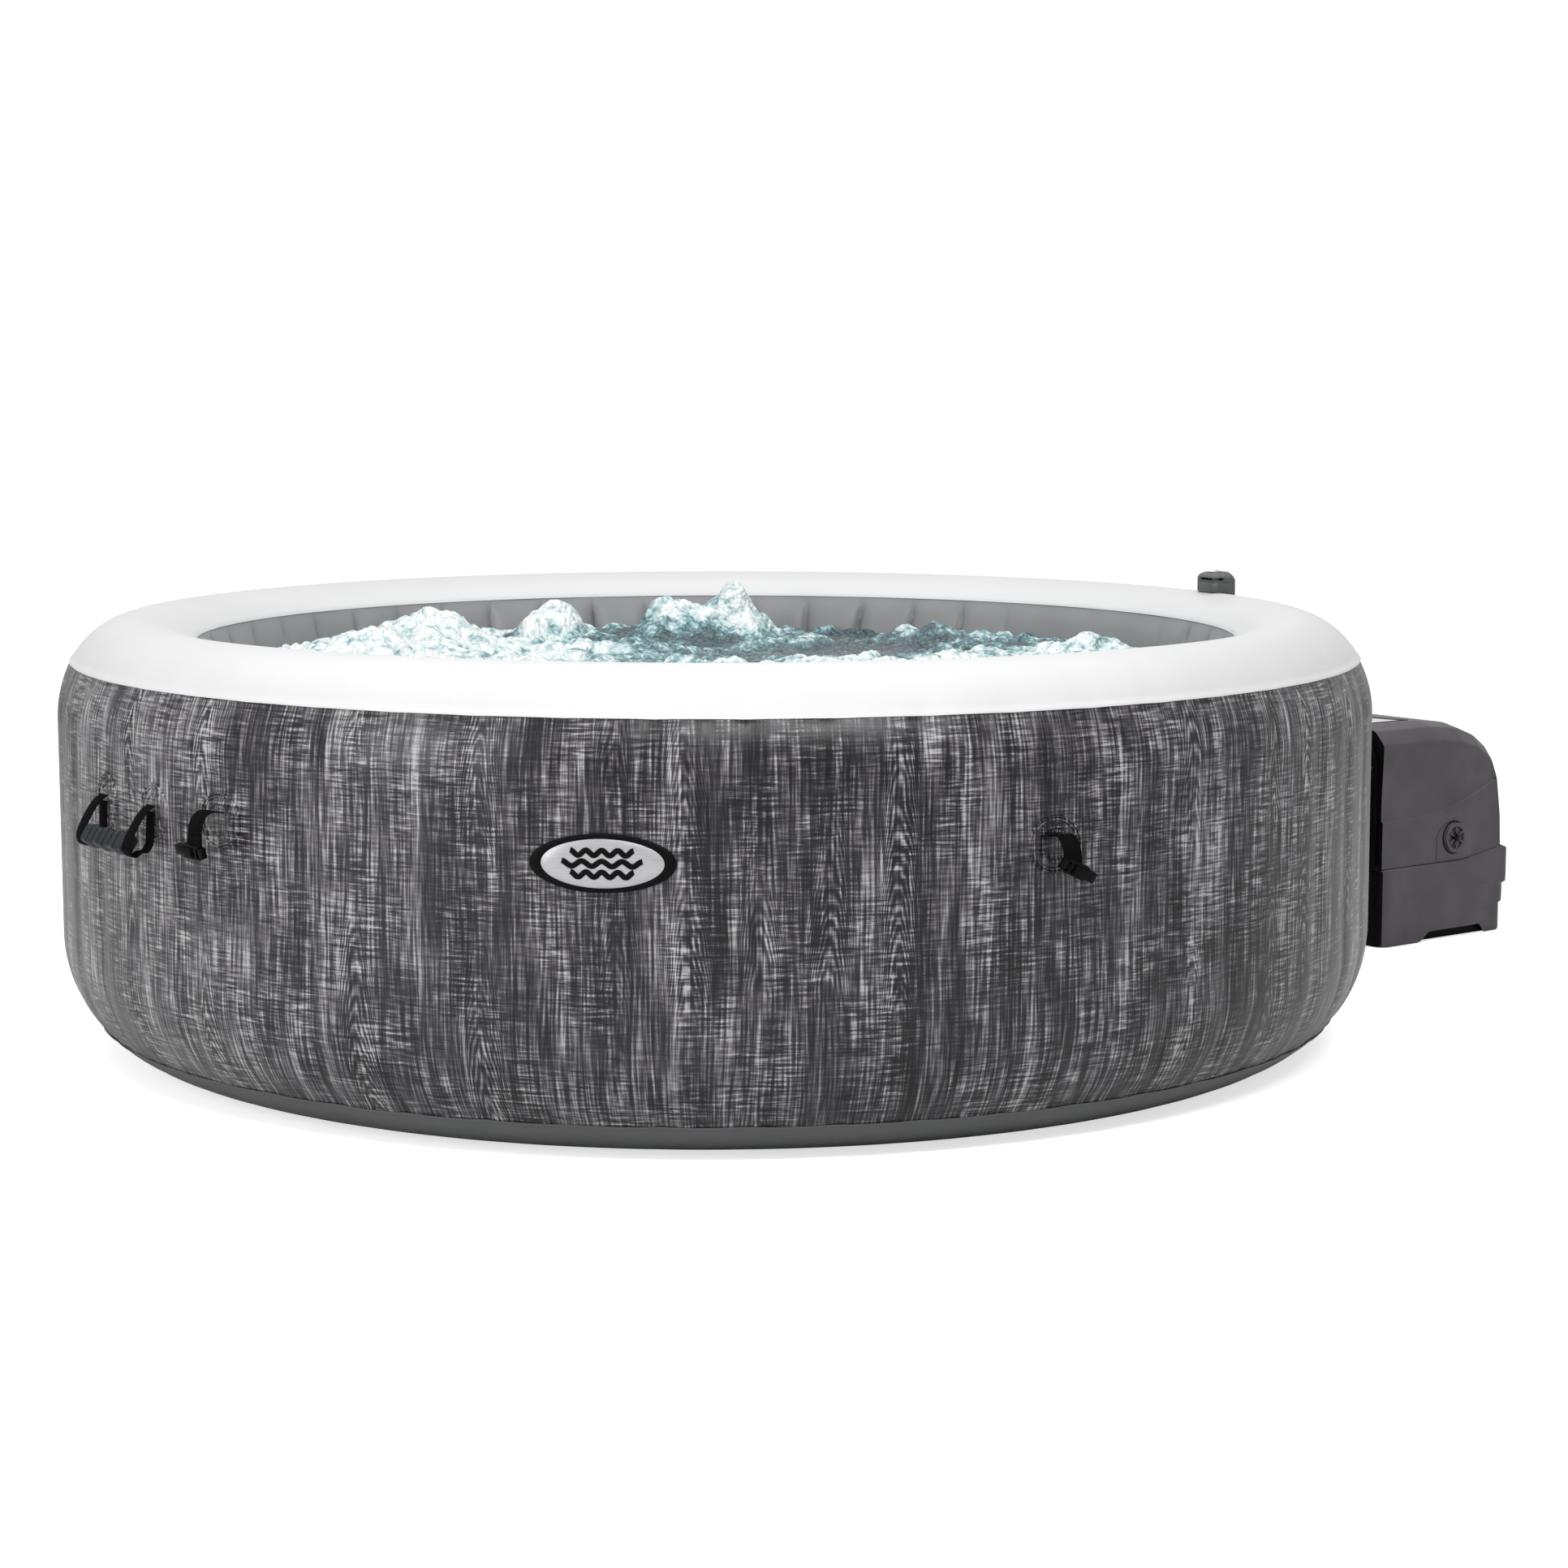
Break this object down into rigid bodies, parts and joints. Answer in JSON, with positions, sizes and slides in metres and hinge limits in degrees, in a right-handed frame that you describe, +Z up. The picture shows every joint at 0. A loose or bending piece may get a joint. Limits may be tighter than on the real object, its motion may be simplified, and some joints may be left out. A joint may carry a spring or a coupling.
{
  "type": "inflatable hot tub",
  "caption": "Round inflatable hot tub with an air-beam wall, cover straps, carry handle and rim control dock, hose-connected to a floor-standing pump and heater unit.",
  "frame": {"origin": "on the tub's vertical axis at floor level, on the underside of the tub", "axes": "+Z up; +X from the tub's axis towards the pump unit; the carry handle is on the -X side"},
  "size_m": [2.9282, 2.1995, 0.7382],
  "materials": {
    "wood_print_pvc": "satin printed vinyl laminate",
    "white_pvc": "satin vinyl laminate",
    "grey_pvc": "satin vinyl laminate",
    "black_webbing": "woven polypropylene webbing",
    "black_plastic": "moulded satin plastic",
    "slate_plastic": "moulded satin plastic",
    "badge_silver": "silver grey moulded plastic with a black rim",
    "charcoal_plastic": "fine textured moulded plastic",
    "label_grey": "satin",
    "fitting_plastic": "moulded satin plastic",
    "hose_pvc": "ribbed flexible vinyl",
    "stainless_steel": "brushed",
    "motor_enamel": "satin enamel",
    "circuit_board": "solder mask",
    "filter_paper": "pleated filter paper",
    "display_glass": "polished window",
    "button_rubber": "matt"
  },
  "bodies": {
    "tub": {"outer_wall": "wood_print_pvc", "top_ring": "white_pvc", "inner_wall": "grey_pvc", "bottom_band": "grey_pvc", "bottom_sheet": "grey_pvc", "basin_floor": "grey_pvc", "bubble_ring": "grey_pvc", "internal_beams": "white_pvc", "badge": "badge_silver", "air_valve": "fitting_plastic", "drain_valve": "fitting_plastic", "filter_housing": "fitting_plastic", "filter_cartridge": "filter_paper", "pump_base": "charcoal_plastic", "pump_hood": "charcoal_plastic", "back_plate": "black_plastic", "access_panel": "charcoal_plastic", "label_panel": "label_grey", "cable_gland": "black_plastic", "circulation_pump": "motor_enamel", "heater_tube": "stainless_steel", "air_blower": "charcoal_plastic", "control_board": "circuit_board", "dock_base": "charcoal_plastic", "inlet_fitting": "fitting_plastic", "inlet_hose": "hose_pvc", "outlet_fitting": "fitting_plastic", "outlet_hose": "hose_pvc", "air_fitting": "fitting_plastic", "air_hose": "hose_pvc"},
    "carry_handle": {"handle_webbing": "black_webbing", "handle_grip": "slate_plastic"},
    "cover_strap_1": {"strap_1": "black_webbing", "buckle_1": "black_plastic"},
    "cover_strap_2": {"strap_2": "black_webbing", "buckle_2": "black_plastic"},
    "cover_strap_3": {"strap_3": "black_webbing", "buckle_3": "black_plastic"},
    "cover_strap_4": {"strap_4": "black_webbing", "buckle_4": "black_plastic"},
    "cover_strap_5": {"strap_5": "black_webbing", "buckle_5": "black_plastic"},
    "air_valve_cap": {"air_valve_cap": "black_plastic"},
    "drain_valve_cap": {"drain_valve_cap": "black_plastic"},
    "inlet_tub_nut": {"inlet_tub_nut": "black_plastic"},
    "inlet_pump_nut": {"inlet_pump_nut": "black_plastic"},
    "outlet_tub_nut": {"outlet_tub_nut": "black_plastic"},
    "outlet_pump_nut": {"outlet_pump_nut": "black_plastic"},
    "air_tub_nut": {"air_tub_nut": "black_plastic"},
    "air_pump_nut": {"air_pump_nut": "black_plastic"},
    "filter_cap": {"filter_cap": "black_plastic"},
    "service_cap": {"service_cap": "charcoal_plastic"},
    "impeller": {"impeller": "fitting_plastic"},
    "blower_fan": {"blower_fan": "fitting_plastic"},
    "control_panel": {"control_panel": "charcoal_plastic", "display_window": "display_glass"},
    "button_1": {"button_1": "button_rubber"},
    "button_2": {"button_2": "button_rubber"},
    "button_3": {"button_3": "button_rubber"},
    "button_4": {"button_4": "button_rubber"}
  },
  "joints": [
    {"name": "handle_swing", "type": "hinge", "parent": "tub", "child": "carry_handle", "pos_m": [-1.07934, 0.01884, 0.468], "axis": [0.0175, 0.9998, 0], "range_deg": [0, 100]},
    {"name": "strap_1_swing", "type": "hinge", "parent": "tub", "child": "cover_strap_1", "pos_m": [-1.06099, -0.21972, 0.474], "axis": [-0.2028, 0.9792, 0], "range_deg": [0, 75]},
    {"name": "strap_2_swing", "type": "hinge", "parent": "tub", "child": "cover_strap_2", "pos_m": [-0.20488, -1.06395, 0.46], "axis": [-0.982, 0.1891, 0], "range_deg": [0, 75]},
    {"name": "strap_3_swing", "type": "hinge", "parent": "tub", "child": "cover_strap_3", "pos_m": [0.95667, -0.50867, 0.462], "axis": [-0.4695, -0.8829, 0], "range_deg": [0, 75]},
    {"name": "strap_4_swing", "type": "hinge", "parent": "tub", "child": "cover_strap_4", "pos_m": [0.79242, 0.73895, 0.462], "axis": [0.682, -0.7314, 0], "range_deg": [0, 75]},
    {"name": "strap_5_swing", "type": "hinge", "parent": "tub", "child": "cover_strap_5", "pos_m": [-0.45791, 0.98198, 0.462], "axis": [0.9063, 0.4226, 0], "range_deg": [0, 75]},
    {"name": "air_valve_cap_turn", "type": "hinge", "parent": "tub", "child": "air_valve_cap", "pos_m": [1.00229, -0.40495, 0.2], "axis": [0.9272, -0.3746, 0], "continuous": true},
    {"name": "drain_valve_cap_turn", "type": "hinge", "parent": "tub", "child": "drain_valve_cap", "pos_m": [1.00229, 0.40495, 0.21], "axis": [0.9272, 0.3746, 0], "continuous": true},
    {"name": "inlet_tub_nut_turn", "type": "hinge", "parent": "tub", "child": "inlet_tub_nut", "pos_m": [1.12, -0.115, 0.235], "axis": [1, 0, 0], "continuous": true},
    {"name": "inlet_pump_nut_turn", "type": "hinge", "parent": "tub", "child": "inlet_pump_nut", "pos_m": [1.394, -0.1, 0.205], "axis": [1, 0, 0], "continuous": true},
    {"name": "outlet_tub_nut_turn", "type": "hinge", "parent": "tub", "child": "outlet_tub_nut", "pos_m": [1.12, 0.115, 0.235], "axis": [1, 0, 0], "continuous": true},
    {"name": "outlet_pump_nut_turn", "type": "hinge", "parent": "tub", "child": "outlet_pump_nut", "pos_m": [1.394, 0.1, 0.205], "axis": [1, 0, 0], "continuous": true},
    {"name": "air_tub_nut_turn", "type": "hinge", "parent": "tub", "child": "air_tub_nut", "pos_m": [1.12, 0, 0.36], "axis": [1, 0, 0], "continuous": true},
    {"name": "air_pump_nut_turn", "type": "hinge", "parent": "tub", "child": "air_pump_nut", "pos_m": [1.394, 0, 0.32], "axis": [1, 0, 0], "continuous": true},
    {"name": "filter_cap_turn", "type": "hinge", "parent": "tub", "child": "filter_cap", "pos_m": [0.74658, -0.115, 0.35], "axis": [0, 0, 1], "continuous": true},
    {"name": "service_cap_turn", "type": "hinge", "parent": "tub", "child": "service_cap", "pos_m": [1.632, -0.19, 0.196], "axis": [0, -1, 0], "continuous": true},
    {"name": "impeller_spin", "type": "hinge", "parent": "tub", "child": "impeller", "pos_m": [1.515, 0.06, 0.1], "axis": [0, -1, 0], "continuous": true},
    {"name": "blower_fan_spin", "type": "hinge", "parent": "tub", "child": "blower_fan", "pos_m": [1.56, 0, 0.22], "axis": [0, 0, 1], "continuous": true},
    {"name": "control_panel_lift", "type": "slide", "parent": "tub", "child": "control_panel", "axis": [0, 0, 1], "range_m": [0, 0.06]},
    {"name": "button_1_press", "type": "slide", "parent": "control_panel", "child": "button_1", "axis": [0, 0, -1], "range_m": [0, 0.0008], "stiffness_N_per_m": 500},
    {"name": "button_2_press", "type": "slide", "parent": "control_panel", "child": "button_2", "axis": [0, 0, -1], "range_m": [0, 0.0008], "stiffness_N_per_m": 500},
    {"name": "button_3_press", "type": "slide", "parent": "control_panel", "child": "button_3", "axis": [0, 0, -1], "range_m": [0, 0.0008], "stiffness_N_per_m": 500},
    {"name": "button_4_press", "type": "slide", "parent": "control_panel", "child": "button_4", "axis": [0, 0, -1], "range_m": [0, 0.0008], "stiffness_N_per_m": 500}
  ]
}
